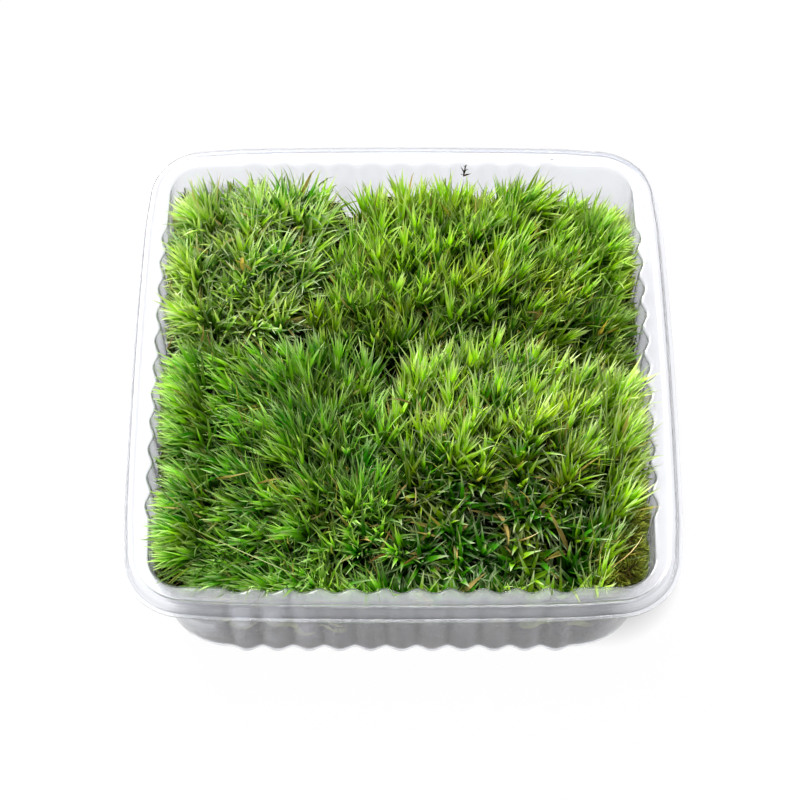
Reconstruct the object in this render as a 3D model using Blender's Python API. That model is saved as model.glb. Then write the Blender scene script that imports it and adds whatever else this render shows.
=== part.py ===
"""Four clumps of fork-moss packed side by side in a clear fluted tray.

Metres, +Z up. The origin is at the middle of the tray's underside, +X is to the right
and -Y is the front. Each clump is one solid whose surface lies at its leaf tips.
"""

import math

import bmesh
import bpy
from mathutils import Vector, noise

# Tray, a square thermoformed sheet
LIP_SIZE = 0.140
LIP_CORNER = 0.0173
SIDE_BOW = 0.0013
TRAY_HEIGHT = 0.040
SHEET = 0.0005
RIDGE_INSET = 0.0032
LIP_DROP = 0.0034
MOUTH_HALF = 0.0628
MOUTH_CORNER = 0.0085
BASE_HALF = 0.0615
BASE_CORNER = 0.0172
FOOT_HEIGHT = 0.0015

# Flutes, half-round bulges that run up the four walls
FLUTES_PER_SIDE = 11
FLUTE_PITCH = 0.0080
FLUTE_DEPTH_MOUTH = 0.0015
FLUTE_DEPTH_BASE = 0.0010
FLUTE_STEPS = 3
CORNER_STEPS = 5

# Clumps
GAP = 0.0003
WALL_CLEARANCE = 0.0006
CLUMP_STATIONS = 40
CORNER_SHARPNESS = 16
LUMP_SIZE = 0.0095
LUMP_HEIGHT = 0.0024
LUMP_START = 0.7
LUMP_FULL = 0.9

# Towards the back corners of the tray the moss is lower: where that starts, how far it goes, and by how much
SHOULDER_SQUARE = 0.038
SHOULDER_START = 0.016
SHOULDER_END = 0.034
SHOULDER_FALL = 0.0075

# The back left clump is a dome: the place of its crest, its spread and its fall to either side
DOME_CREST = -0.034
DOME_SPREAD = 0.017
DOME_FALL = 0.0045

# Where neighbouring clumps meet, in plan, as the two ends of each line
MEETING_LEFT = (-0.026, 0.0120)
MEETING_MIDDLE = (-0.0030, 0.0080)
CREST = (0.0240, 0.0140)
SEAM_WEST = ((-0.065, 0.0060), MEETING_LEFT)
SEAM_MIDDLE = (MEETING_LEFT, MEETING_MIDDLE)
SEAM_CREST_LEFT = (MEETING_MIDDLE, CREST)
SEAM_CREST_RIGHT = (CREST, (0.062, 0.0020))
SEAM_BACK = (MEETING_LEFT, (-0.0155, 0.0500))
SEAM_FRONT = ((-0.0030, -0.0640), MEETING_MIDDLE)

# For each ring from a clump's flat base to its crown: share of its reach in plan, then share of its
# height where it meets the tray's wall, and where it meets a neighbour
CLUMP_RINGS = (
    (0.94, 0.00, 0.00),
    (1.00, 0.06, 0.06),
    (1.00, 0.82, 0.57),
    (0.985, 0.90, 0.72),
    (0.94, 0.94, 0.84),
    (0.85, 0.965, 0.92),
    (0.70, 0.98, 0.965),
    (0.54, 0.99, 0.985),
    (0.37, 1.00, 1.00),
    (0.17, 1.00, 1.00),
)


def clear_scene():
    """Empties the scene."""
    for thing in list(bpy.data.objects):
        bpy.data.objects.remove(thing, do_unlink=True)


def make_material(name, colour, roughness, transmission=0.0, ior=1.5):
    """One Principled material."""
    material = bpy.data.materials.new(name)
    material.use_nodes = True
    shader = material.node_tree.nodes["Principled BSDF"]
    shader.inputs["Base Color"].default_value = (*colour, 1.0)
    shader.inputs["Metallic"].default_value = 0.0
    shader.inputs["Roughness"].default_value = roughness
    shader.inputs["Transmission Weight"].default_value = transmission
    shader.inputs["IOR"].default_value = ior
    material.diffuse_color = (*colour, 1.0)
    return material


def clear_plastic():
    """Clear PET sheet with a faint blue-grey tint."""
    return make_material("clear_pet", (0.86, 0.87, 0.91), 0.12, transmission=0.9, ior=1.57)


def moss_green(name, colour):
    """Damp moss leaves."""
    return make_material(name, colour, 0.6)


def side_line(half, bow, depth):
    """One side from its left flute to its right one: the front side, seen from above."""
    points = []
    count = FLUTES_PER_SIDE * FLUTE_STEPS
    for step in range(count + 1):
        turn = step / FLUTE_STEPS
        x = (turn - FLUTES_PER_SIDE / 2) * FLUTE_PITCH
        bulge = depth * abs(math.sin(math.pi * turn))
        crown = bow * (1 - (x / half) ** 2)
        points.append(Vector((x, -(half + bulge + crown), 0)))
    return points


def corner_line(half, radius):
    """The front right corner's arc, from the front side to the right one."""
    centre = half - radius
    points = []
    for step in range(CORNER_STEPS + 1):
        angle = math.radians(-90 + 90 * step / CORNER_STEPS)
        points.append(Vector((centre + radius * math.cos(angle), -centre + radius * math.sin(angle), 0)))
    return points


def tray_ring(half, radius, bow, depth):
    """A closed ring round the tray, four like quarters of one side and one corner each."""
    quarter = side_line(half, bow, depth) + corner_line(half, radius)
    ring = []
    for turns in range(4):
        angle = math.radians(90 * turns)
        cosine, sine = math.cos(angle), math.sin(angle)
        for point in quarter:
            ring.append(Vector((cosine * point.x - sine * point.y, sine * point.x + cosine * point.y, 0)))
    return ring


def tray_profile():
    """Rings of the sheet's outer and under face: half width, corner radius, bow, flute depth, height."""
    lip_half = LIP_SIZE / 2 - SHEET
    ridge_half = LIP_SIZE / 2 - RIDGE_INSET
    under_ridge = TRAY_HEIGHT - SHEET
    under_flange = under_ridge - 0.0005
    ridge_reach = 0.0008
    lip_reach = 0.0010
    ridge_corner = LIP_CORNER - RIDGE_INSET
    return (
        (BASE_HALF - 0.0014, BASE_CORNER - 0.0014, 0.0002, 0.0007, 0.0),
        (BASE_HALF, BASE_CORNER, 0.0002, FLUTE_DEPTH_BASE, FOOT_HEIGHT),
        (MOUTH_HALF, MOUTH_CORNER, 0.0004, FLUTE_DEPTH_MOUTH, under_flange - 0.0007),
        (MOUTH_HALF + 0.0006, MOUTH_CORNER + 0.0006, 0.0005, FLUTE_DEPTH_MOUTH, under_flange),
        (ridge_half - ridge_reach, ridge_corner - ridge_reach, SIDE_BOW, 0.0, under_flange + 0.0001),
        (ridge_half, ridge_corner, SIDE_BOW, 0.0, under_ridge),
        (ridge_half + ridge_reach, ridge_corner + ridge_reach, SIDE_BOW, 0.0, under_flange),
        (lip_half - lip_reach, LIP_CORNER - SHEET - lip_reach, SIDE_BOW, 0.0, under_ridge - LIP_DROP + 0.0004),
        (lip_half, LIP_CORNER - SHEET, SIDE_BOW, 0.0, under_ridge - LIP_DROP),
    )


def loft(mesh, rings):
    """A base face on the first ring, then one extrusion to each ring that follows: the base and last edges."""
    station = mesh.verts.layers.int.new("station")
    verts = []
    for number, point in enumerate(rings[0]):
        vert = mesh.verts.new(point)
        vert[station] = number
        verts.append(vert)
    base = mesh.faces.new(verts)
    edges = list(base.edges)
    for ring in rings[1:]:
        made = bmesh.ops.extrude_edge_only(mesh, edges=edges)["geom"]
        for part in made:
            if isinstance(part, bmesh.types.BMVert):
                part.co = ring[part[station]]
        edges = [part for part in made if isinstance(part, bmesh.types.BMEdge) and len(part.link_faces) == 1]
    return base, edges


def link_mesh(name, mesh, material, smooth_below):
    """Turns a bmesh into an object with its material and smooth shading."""
    bmesh.ops.recalc_face_normals(mesh, faces=mesh.faces)
    data = bpy.data.meshes.new(name)
    mesh.to_mesh(data)
    mesh.free()
    data.materials.append(material)
    data.shade_smooth()
    data.set_sharp_from_angle(angle=math.radians(smooth_below))
    thing = bpy.data.objects.new(name, data)
    bpy.context.scene.collection.objects.link(thing)
    return thing


def build_tray():
    """The fluted tray: its outer face is lofted, and the sheet's thickness goes to the inside."""
    mesh = bmesh.new()
    rings = []
    for half, radius, bow, depth, height in tray_profile():
        lift = Vector((0, 0, height))
        rings.append([point + lift for point in tray_ring(half, radius, bow, depth)])
    loft(mesh, rings)
    tray = link_mesh("tray", mesh, clear_plastic(), smooth_below=35)
    # the open sheet has no inside of its own, so its base face says which way is out
    base = min(tray.data.polygons, key=lambda face: face.center.z)
    if base.normal.z > 0:
        tray.data.flip_normals()
    wall = tray.modifiers.new("sheet thickness", "SOLIDIFY")
    wall.thickness = SHEET
    wall.offset = -1
    wall.use_even_offset = True
    return tray


def seam(line, keep_left):
    """A seam as outward direction and distance from the origin, for the clump on its left or right."""
    start, end = Vector(line[0]), Vector(line[1])
    along = (end - start).normalized()
    outward = Vector((along.y, -along.x)) if keep_left else Vector((-along.y, along.x))
    return outward, outward.dot(start) - GAP / 2


def walls(share):
    """The tray's four walls and four corners at a share of its height, each a border of one straight line.

    A border is its lines and how they join: max where a clump lies behind all of them, min behind any.
    """
    half = BASE_HALF + (MOUTH_HALF - BASE_HALF) * share - SHEET - WALL_CLEARANCE
    radius = BASE_CORNER + (MOUTH_CORNER - BASE_CORNER) * share
    corner = (half - radius) * math.sqrt(2) + radius - GAP
    borders = []
    for turns in range(4):
        straight = math.radians(90 * turns)
        borders.append((max, [(Vector((math.cos(straight), math.sin(straight))), half)]))
        diagonal = straight + math.radians(45)
        borders.append((max, [(Vector((math.cos(diagonal), math.sin(diagonal))), corner)]))
    return borders


def nearness(centre, direction, borders):
    """How near a clump's borders are in one direction, as one number that sharpens towards the nearest."""
    total = 0.0
    for join, lines in borders:
        shares = [outward.dot(direction) / (distance - outward.dot(centre)) for outward, distance in lines]
        total += max(0.0, join(shares)) ** CORNER_SHARPNESS
    return total


def lump(x, y, seed):
    """Shoots stand in low tufts: a smooth rise and fall across the canopy, from -1 to 1."""
    place = Vector((x / LUMP_SIZE, y / LUMP_SIZE, seed))
    return max(-1.0, min(1.0, 1.6 * noise.noise(place)))


def shoulder(spot):
    """How much lower the moss is towards the tray's two back corners."""
    out = Vector((max(0.0, abs(spot.x) - SHOULDER_SQUARE), max(0.0, spot.y - SHOULDER_SQUARE)))
    share = (out.length - SHOULDER_START) / (SHOULDER_END - SHOULDER_START)
    return SHOULDER_FALL * min(1.0, max(0.0, share))


def clump_rings(centre, seams, crown, tilt, dome, seed):
    """Rings of one clump, from its flat base up its sides and over its tilted, lumpy crown."""
    floor = SHEET + GAP
    rings = []
    for reach_share, wall_share, seam_share in CLUMP_RINGS:
        ring = []
        for station in range(CLUMP_STATIONS):
            angle = 2 * math.pi * station / CLUMP_STATIONS
            direction = Vector((math.cos(angle), math.sin(angle)))
            to_walls = nearness(centre, direction, walls(wall_share))
            to_seams = nearness(centre, direction, seams)
            reach = (to_walls + to_seams) ** (-1 / CORNER_SHARPNESS)
            height_share = (wall_share * to_walls + seam_share * to_seams) / (to_walls + to_seams)
            swell = LUMP_HEIGHT * min(1.0, max(0.0, (height_share - LUMP_START) / (LUMP_FULL - LUMP_START)))
            spot = centre + direction * reach * reach_share
            fall = dome * (1 - math.exp(-((spot.x - DOME_CREST) / DOME_SPREAD) ** 2))
            top = crown + Vector(tilt).dot(spot - centre) - fall - shoulder(spot)
            height = floor + (top - floor) * height_share + swell * lump(spot.x, spot.y, seed)
            ring.append(Vector((spot.x, spot.y, height)))
        rings.append(ring)
    return rings


def build_clump(name, centre, seams, crown, tilt, seed, colour, dome=0.0):
    """One clump of moss as a closed lumpy solid. Its crown rises by tilt, in metres per metre."""
    mesh = bmesh.new()
    rings = clump_rings(Vector(centre), seams, crown, tilt, dome, seed)
    around = [point.z for point in rings[-1]]
    pole = Vector((*centre, sum(around) / len(around)))
    base, last_edges = loft(mesh, rings + [[pole] * CLUMP_STATIONS])
    bmesh.ops.poke(mesh, faces=[base])
    last_verts = list({vert for edge in last_edges for vert in edge.verts})
    bmesh.ops.pointmerge(mesh, verts=last_verts, merge_co=pole)
    return link_mesh(name, mesh, moss_green(name + "_leaves", colour), smooth_below=60)


def build_clumps():
    """The four clumps, each held between the tray's walls and its neighbours."""
    build_clump(
        "clump_back_left",
        centre=(-0.0425, 0.0360),
        seams=[(max, [seam(SEAM_WEST, keep_left=True)]), (max, [seam(SEAM_BACK, keep_left=True)])],
        crown=0.0430,
        tilt=(0.00, 0.06),
        seed=3.1,
        colour=(0.20, 0.36, 0.07),
        dome=DOME_FALL,
    )
    build_clump(
        "clump_back_right",
        centre=(0.0200, 0.0350),
        seams=[
            (max, [seam(SEAM_MIDDLE, keep_left=True)]),
            (min, [seam(SEAM_CREST_LEFT, keep_left=True), seam(SEAM_CREST_RIGHT, keep_left=True)]),
            (max, [seam(SEAM_BACK, keep_left=False)]),
        ],
        crown=0.0410,
        tilt=(-0.03, 0.07),
        seed=5.7,
        colour=(0.22, 0.40, 0.04),
    )
    build_clump(
        "clump_front_left",
        centre=(-0.0330, -0.0270),
        seams=[
            (max, [seam(SEAM_WEST, keep_left=False), seam(SEAM_MIDDLE, keep_left=False)]),
            (max, [seam(SEAM_FRONT, keep_left=True)]),
        ],
        crown=0.0400,
        tilt=(0.03, 0.04),
        seed=8.4,
        colour=(0.14, 0.32, 0.04),
    )
    build_clump(
        "clump_front_right",
        centre=(0.0300, -0.0280),
        seams=[
            (max, [seam(SEAM_CREST_LEFT, keep_left=False), seam(SEAM_CREST_RIGHT, keep_left=False)]),
            (max, [seam(SEAM_FRONT, keep_left=False)]),
        ],
        crown=0.0410,
        tilt=(0.02, 0.08),
        seed=12.2,
        colour=(0.20, 0.40, 0.04),
    )


clear_scene()
build_tray()
build_clumps()
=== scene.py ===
import math

import bpy
import numpy as np
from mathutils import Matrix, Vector, noise
from mathutils.bvhtree import BVHTree


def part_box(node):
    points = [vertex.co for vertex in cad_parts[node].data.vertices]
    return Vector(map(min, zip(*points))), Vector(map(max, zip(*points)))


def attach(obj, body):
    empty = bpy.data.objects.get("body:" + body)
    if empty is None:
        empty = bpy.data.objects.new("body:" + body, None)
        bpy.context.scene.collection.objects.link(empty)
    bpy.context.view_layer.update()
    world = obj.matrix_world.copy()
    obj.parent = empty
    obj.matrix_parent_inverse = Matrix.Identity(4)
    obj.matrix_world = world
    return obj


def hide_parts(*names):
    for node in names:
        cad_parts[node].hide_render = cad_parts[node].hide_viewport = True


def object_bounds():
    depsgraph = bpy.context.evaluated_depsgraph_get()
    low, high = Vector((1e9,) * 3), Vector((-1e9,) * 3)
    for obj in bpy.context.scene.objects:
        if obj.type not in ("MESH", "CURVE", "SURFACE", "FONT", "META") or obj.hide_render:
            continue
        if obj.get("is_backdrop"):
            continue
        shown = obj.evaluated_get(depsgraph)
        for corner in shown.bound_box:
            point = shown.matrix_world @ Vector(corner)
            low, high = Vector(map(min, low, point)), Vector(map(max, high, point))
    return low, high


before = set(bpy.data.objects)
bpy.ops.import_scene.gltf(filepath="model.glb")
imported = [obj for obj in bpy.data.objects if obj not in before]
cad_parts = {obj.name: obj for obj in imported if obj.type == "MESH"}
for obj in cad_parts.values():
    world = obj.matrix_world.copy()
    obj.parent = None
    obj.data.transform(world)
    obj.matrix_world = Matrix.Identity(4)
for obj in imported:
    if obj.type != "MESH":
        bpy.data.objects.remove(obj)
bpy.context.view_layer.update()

MM = 0.001


# ---- Tray ----
# A square tray for selling moss, drawn from one sheet of clear PET over a mould. Its walls are
# fluted for stiffness. The mould leaves a round bead on the flange, and the lip outside it is trimmed.

SHEET = 0.35 * MM
FLUTES_PER_SIDE = 11
FLUTE_PITCH = 8.0 * MM
FLUTE_STEPS = 12
CORNER_STEPS = 14
# Height of the straight wall's lower end, and from there to its upper end, in mm
WALL_START, WALL_HEIGHT = 1.2, 37.0
# How round the cusps between two flutes are: 0 would be a crease
CUSP = 0.7
# Cosine and sine of the quarter turns from one side of the tray to the next
QUARTER_TURNS = ((1, 0), (0, 1), (-1, 0), (0, -1))


def linear(code):
    """An sRGB hex colour as linear numbers."""
    parts = [int(code[i:i + 2], 16) / 255 for i in (1, 3, 5)]
    return (*(p / 12.92 if p <= 0.04045 else ((p + 0.055) / 1.055) ** 2.4 for p in parts), 1.0)


def add_node(material, kind, stops=(), **values):
    """Adds one node. i0, i1 and names with a capital are inputs, others are properties of the node.

    An input gets a value or a link from an output. A node stands for its first output. stops are the
    places and colours of a colour ramp.
    """
    tree = material.node_tree
    node = tree.nodes.new("ShaderNode" + kind)
    for key, value in values.items():
        if key[0] != "i" and key[0].islower():
            setattr(node, key, value)
            continue
        socket = node.inputs[int(key[1:]) if key[0] == "i" else key.replace("_", " ")]
        if isinstance(value, bpy.types.Node):
            value = value.outputs[0]
        if isinstance(value, bpy.types.NodeSocket):
            tree.links.new(value, socket)
        else:
            socket.default_value = value
    for number, (position, code) in enumerate(stops):
        elements = node.color_ramp.elements
        stop = elements[number] if number < 2 else elements.new(position)
        stop.position, stop.color = position, linear(code)
    return node


def new_material(name):
    """A material with no nodes yet."""
    material = bpy.data.materials.new(name)
    material.use_nodes = True
    material.node_tree.nodes.clear()
    return material


def set_surface(material, shader):
    """Puts a shader on the material's output."""
    add_node(material, "OutputMaterial", Surface=shader)
    return material


def flute_swell(turn):
    """How far a flute bulges, as a share of its depth, at a place counted in flutes from a cusp."""
    return (np.hypot(np.sin(np.pi * turn), CUSP) - CUSP) / (math.hypot(1, CUSP) - CUSP)


def tray_ring(half, radius, bow, depth):
    """Points round the tray: four like quarters, each one fluted side and one corner."""
    half, radius, bow, depth = half * MM, radius * MM, bow * MM, depth * MM
    quarter = []
    for step in range(FLUTES_PER_SIDE * FLUTE_STEPS + 1):
        turn = step / FLUTE_STEPS
        x = (turn - FLUTES_PER_SIDE / 2) * FLUTE_PITCH
        bulge = depth * flute_swell(turn)
        quarter.append((x, -(half + bulge + bow * (1 - (x / half) ** 2))))
    centre = half - radius
    for step in range(CORNER_STEPS + 1):
        angle = math.radians(-90 + 90 * step / CORNER_STEPS)
        quarter.append((centre + radius * math.cos(angle), -centre + radius * math.sin(angle)))
    quarter = np.array(quarter)
    return np.concatenate([
        quarter @ np.array([[cosine, sine], [-sine, cosine]]) for cosine, sine in QUARTER_TURNS
    ])


def wall_at(share):
    """Half width and corner radius of the wall, in mm, at a share of its height: it opens upwards."""
    return 61.9 + 0.65 * share, 17.4 - 8.9 * share


def points_of(data):
    """The points of a mesh, one row each."""
    points = np.empty(len(data.vertices) * 3)
    data.vertices.foreach_get("co", points)
    return points.reshape(-1, 3)


def move_points(data, points):
    """Puts the points of a mesh at these places."""
    data.vertices.foreach_set("co", points.ravel())
    data.update()


def loft(name, rings, heights, fill):
    """A mesh through rings of points: the object, its points, and the ring and station of each."""
    radius = 60 * MM
    stations = len(rings[0])
    bpy.ops.object.select_all(action="DESELECT")
    bpy.ops.mesh.primitive_circle_add(vertices=stations, radius=radius, fill_type=fill)
    piece = bpy.context.object
    piece.name = name
    bpy.ops.object.mode_set(mode="EDIT")
    bpy.ops.mesh.select_all(action="SELECT")
    if fill != "NOTHING":
        bpy.ops.mesh.region_to_loop()
    for _ in rings[1:]:
        bpy.ops.mesh.extrude_region_move(TRANSFORM_OT_translate={"value": (0, 0, 1.0)})
    bpy.ops.object.mode_set(mode="OBJECT")
    points = points_of(piece.data)
    level = np.rint(points[:, 2]).astype(int)
    on_ring = np.hypot(points[:, 0], points[:, 1]) > radius / 2
    # Station 0 is at the front left.
    turn = np.arctan2(points[:, 1], points[:, 0]) + math.pi * 0.75
    station = np.rint(turn / (2 * math.pi) * stations).astype(int) % stations
    points = np.zeros_like(points)
    points[on_ring, :2] = np.array(rings)[level[on_ring], station[on_ring]]
    points[on_ring, 2] = np.array(heights)[level[on_ring]]
    move_points(piece.data, points)
    return piece, points, level, station


def turn_outwards(piece):
    """Turns all faces of a lofted piece outwards: its lowest one looks down or away from its axis."""
    bpy.ops.object.mode_set(mode="EDIT")
    bpy.ops.mesh.select_all(action="SELECT")
    bpy.ops.mesh.normals_make_consistent(inside=False)
    bpy.ops.object.mode_set(mode="OBJECT")
    lowest = min(piece.data.polygons, key=lambda face: face.center.z)
    if lowest.normal.dot((lowest.center.x, lowest.center.y, -10 * MM)) < 0:
        piece.data.flip_normals()


# Half width, corner radius, bow of the side, flute depth, height of the sheet's under face, all in mm
tray_profile = [
    (60.3, 16.0, 0.2, 0.8, 0.00), (61.2, 16.9, 0.2, 1.0, 0.10), (61.65, 17.3, 0.2, 1.2, 0.45),
    (61.85, 17.4, 0.2, 1.25, 1.20),
]
for share in (0.05, 0.15, 0.30, 0.45, 0.60, 0.75, 0.88, 0.97):
    tray_profile.append((*wall_at(share), 0.2 + 0.2 * share, 1.25, WALL_START + WALL_HEIGHT * share))
tray_profile += [
    (62.55, 8.6, 0.4, 1.25, 38.30), (62.62, 8.7, 0.4, 1.25, 38.65), (62.80, 8.9, 0.4, 1.25, 38.90),
    (63.08, 9.3, 0.5, 1.2, 39.02), (63.55, 10.0, 0.6, 1.0, 39.06), (64.50, 11.0, 0.9, 0.55, 39.08),
    (65.40, 12.2, 1.1, 0.15, 39.10), (65.85, 13.0, 1.3, 0.0, 39.13),
]
# The bead and the lip have no flutes: half width, corner radius and height
for half, radius, height in (
    (66.10, 13.3, 39.24), (66.30, 13.6, 39.40), (66.48, 13.8, 39.48), (66.58, 13.9, 39.487),
    (66.66, 14.0, 39.475), (66.92, 14.2, 39.422), (67.20, 14.4, 39.365), (67.30, 14.6, 39.32),
    (67.42, 14.7, 39.14), (67.66, 15.0, 38.60), (67.82, 15.2, 38.00), (68.02, 15.4, 37.00),
    (68.16, 15.5, 36.50), (68.30, 15.7, 36.22), (68.48, 15.9, 36.12), (69.00, 16.4, 36.11),
    (69.50, 16.8, 36.10),
):
    tray_profile.append((half, radius, 1.3, 0.0, height))

tray_rings = [tray_ring(*row[:4]) for row in tray_profile]
heights = [row[4] * MM for row in tray_profile]
tray, points, _, station = loft("tray_sheet", tray_rings, heights, "TRIFAN")
# How far each point lies out in a flute, which the mist, with its painted light, on the walls follows.
stations = len(tray_rings[0])
turns = (station % (stations // 4)) / FLUTE_STEPS
swell = np.where(turns < FLUTES_PER_SIDE, flute_swell(turns), 0.8) * np.any(points[:, :2], axis=1)
layer = tray.data.attributes.new("flute", "FLOAT", "POINT")
layer.data.foreach_set("value", swell.astype(np.float32))
turn_outwards(tray)
wall = tray.modifiers.new("sheet thickness", "SOLIDIFY")
wall.thickness = SHEET
wall.offset = -1
wall.use_even_offset = True
bpy.ops.object.modifier_apply(modifier=wall.name)
bpy.ops.object.shade_smooth_by_angle(angle=math.radians(40))

# Clear PET: glossy, slightly blue-grey. Its IOR of 1.57 is lowered to 1.34, to how little the walls
# mirror the room. The walls are smoother than the flange, but damp moss mists them from inside.
FLANGE_ROUGHNESS = 0.20
# Share of light that clear sheet lets straight through: fine scuffs from handling scatter the rest.
CLARITY = 0.97
MOST_MIST = 0.6

pet = new_material("thermoformed PET")
place = add_node(pet, "TexCoord").outputs["Object"]
where = add_node(pet, "SeparateXYZ", Vector=place)
mist = add_node(pet, "TexNoise", Vector=place, Scale=90.0, Detail=3.0, Roughness=0.55)
low = add_node(pet, "MapRange", i0=where.outputs["Z"], From_Min=0.033, From_Max=0.024)
smoother = add_node(pet, "MapRange", i0=mist, From_Min=0.38, From_Max=0.65, To_Min=-0.09, To_Max=-0.04)
rough = add_node(pet, "Math", operation="MULTIPLY_ADD", i0=low, i1=smoother, i2=FLANGE_ROUGHNESS)
ripple = add_node(pet, "TexNoise", Vector=place, Scale=40.0, Detail=1.0)
ripple_depth = add_node(pet, "Math", operation="MULTIPLY", i0=ripple, i1=low)
ripple_bump = add_node(pet, "Bump", Strength=0.15, Distance=0.4 * MM, Height=ripple_depth)
# Mist on the inside: partly real mist, partly painted light. It is laid most in the bulge of each
# flute, high up and on the tray's left, which paints those places lighter, as if more light fell there,
# and the walls darker towards the foot.
flute = add_node(pet, "Attribute", attribute_name="flute")
painted_light_in_flute = add_node(pet, "MapRange", i0=flute.outputs["Fac"], To_Max=0.24)
painted_light_higher = add_node(pet, "MapRange", i0=where.outputs["Z"], From_Max=0.020)
painted_light_left = add_node(
    pet, "MapRange", i0=where.outputs["X"], From_Min=-0.052, From_Max=-0.012, To_Min=2.4, To_Max=0.35,
)
patchy = add_node(pet, "MapRange", i0=mist, From_Min=0.36, From_Max=0.62, To_Min=0.25, To_Max=1.4)
mist_and_painted_light = painted_light_in_flute
for factor in (painted_light_higher, patchy, painted_light_left, low):
    mist_and_painted_light = add_node(pet, "Math", operation="MULTIPLY", i0=mist_and_painted_light, i1=factor)
mist_and_painted_light = add_node(pet, "Math", operation="MINIMUM", i0=mist_and_painted_light, i1=MOST_MIST)
# Painted light: where this mask is high, the clear sheet gives way to a pale grey that scatters light.
tint = add_node(pet, "Mix", data_type="RGBA", i0=mist_and_painted_light, i6=linear("#f7f8fd"), i7=linear("#e4e6ec"))
clear = add_node(pet, "Math", operation="MULTIPLY_ADD", i0=mist_and_painted_light, i1=-CLARITY, i2=CLARITY)
sheet = add_node(
    pet, "BsdfPrincipled",
    Base_Color=tint.outputs[2], Roughness=rough, IOR=1.34,
    Transmission_Weight=clear, Normal=ripple_bump,
)
set_surface(pet, sheet)
tray.data.materials.append(pet)
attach(tray, "root")
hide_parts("tray")


# ---- Old growth under the leaves ----
# Below its green tips, moss is a brown felt of dead leaves and stems. Each clump's felt is one lumpy
# body that fills the tray to some 11 mm under the leaf tips.

FELT_DEPTH = 11.0 * MM

# Middle of each clump in plan in mm, and the finish it takes
CLUMPS = {
    "clump_back_left": ((-42.5, 36.0), "moss_pale"),
    "clump_back_right": ((20.0, 35.0), "moss_bright"),
    "clump_front_left": ((-33.0, -27.0), "moss_deep"),
    "clump_front_right": ((30.0, -28.0), "moss_fresh"),
}


def felt_material():
    """Damp dead leaves and stems, matted: dark olive, dull, with fibres that show as fine grain. Its
    near-black tones are partly painted shade, for the deep gaps between the shoots.
    """
    material = new_material("felt of dead moss")
    place = add_node(material, "TexCoord").outputs["Object"]
    patches = add_node(material, "TexNoise", Vector=place, Scale=220.0, Detail=6.0)
    fibres = add_node(material, "TexNoise", Vector=place, Scale=1400.0, Detail=3.0, Distortion=1.5)
    tone = add_node(material, "Math", operation="MULTIPLY_ADD", i0=fibres, i1=0.45, i2=patches)
    # Painted shade in part: the darker stops go near black, for the shade deep among the shoots.
    ramp = add_node(
        material, "ValToRGB", stops=((0.50, "#080e03"), (0.72, "#141c0a"), (0.95, "#303818")), i0=tone,
    )
    bump = add_node(material, "Bump", Strength=1.0, Distance=0.8 * MM, Height=tone)
    shader = add_node(
        material, "BsdfPrincipled", Base_Color=ramp, Roughness=0.9, Specular_IOR_Level=0.1, Normal=bump,
    )
    return set_surface(material, shader)


def keep_within(points, half, radius):
    """Moves points that lie outside a square with round corners back onto it, in plan."""
    centre = (half - radius)[:, None]
    out = np.maximum(np.abs(points[:, :2]) - centre, 0)
    far = np.linalg.norm(out, axis=1)
    excess = np.maximum(far - radius, 0)
    points[:, :2] -= np.sign(points[:, :2]) * out / np.maximum(far, 1e-9)[:, None] * excess[:, None]
    return points


def inside_tray(points, clearance, into_flutes=0.0):
    """Moves points inside the tray's walls, clear of the sheet, and into its flutes by that share."""
    foot_height = 1.5 * MM
    share = np.clip((points[:, 2] - foot_height) / (36.5 * MM), 0, 1)
    foot = 0.8 * MM * np.clip(1 - points[:, 2] / foot_height, 0, 1)
    half = (61.5 + 0.6 * share) * MM - foot - clearance
    along = np.where(np.abs(points[:, 0]) > np.abs(points[:, 1]), points[:, 1], points[:, 0])
    swell = flute_swell(along / FLUTE_PITCH + FLUTES_PER_SIDE / 2)
    swell *= np.abs(along) < FLUTES_PER_SIDE / 2 * FLUTE_PITCH
    half += into_flutes * swell * 1.15 * MM
    return keep_within(points, half, (17.0 - 8.4 * share) * MM - clearance)


felt = felt_material()
for clump, (centre, finish) in CLUMPS.items():
    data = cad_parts[clump].data.copy()
    data.materials.clear()
    piece = bpy.data.objects.new("felt_" + clump[6:], data)
    bpy.context.scene.collection.objects.link(piece)
    bpy.ops.object.select_all(action="DESELECT")
    piece.select_set(True)
    bpy.context.view_layer.objects.active = piece
    bpy.ops.object.mode_set(mode="EDIT")
    bpy.ops.mesh.select_all(action="SELECT")
    bpy.ops.mesh.remove_doubles(threshold=0.01 * MM)
    bpy.ops.mesh.subdivide(number_cuts=2)
    bpy.ops.object.mode_set(mode="OBJECT")
    points = points_of(data)
    # The solid tapers in at its foot and stands clear of its neighbours; the felt fills that too.
    taper = 0.94 + 0.06 * np.clip((points[:, 2] - 0.8 * MM) / (2.4 * MM), 0, 1)
    middle = np.array(centre) * MM
    points[:, :2] = middle + (points[:, :2] - middle) * (1.008 / taper)[:, None]
    drop = np.clip((points[:, 2] - 4 * MM) / (30 * MM), 0, 1)
    points[:, 2] -= FELT_DEPTH * drop
    points = inside_tray(points, 0.5 * MM)
    for number, point in enumerate(points):
        points[number, 2] += noise.noise(Vector(point) * 300) * 1.2 * MM * drop[number]
    move_points(data, points)
    bpy.ops.object.shade_smooth()
    data.materials.append(felt)
    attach(piece, "root")


# ---- Leaves of the fork-moss ----
# Each shoot is a stem with narrow leaves all round it in a spiral, open below and closed into a
# brush at its tip. A leaf is one cell thick, folded along its middle, and bent like a sickle.

# Half width along a leaf, as a share of the widest, from its base to just before its point
LEAF_SHAPE = (0.75, 1.0, 0.97, 0.82, 0.58, 0.30)
GOLDEN_ANGLE = math.pi * (3 - math.sqrt(5))
LEAF_CLEARANCE = 0.12 * MM
MOUTH_HEIGHT = 39.2 * MM
TIP_HEIGHT = 46.5 * MM
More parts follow.
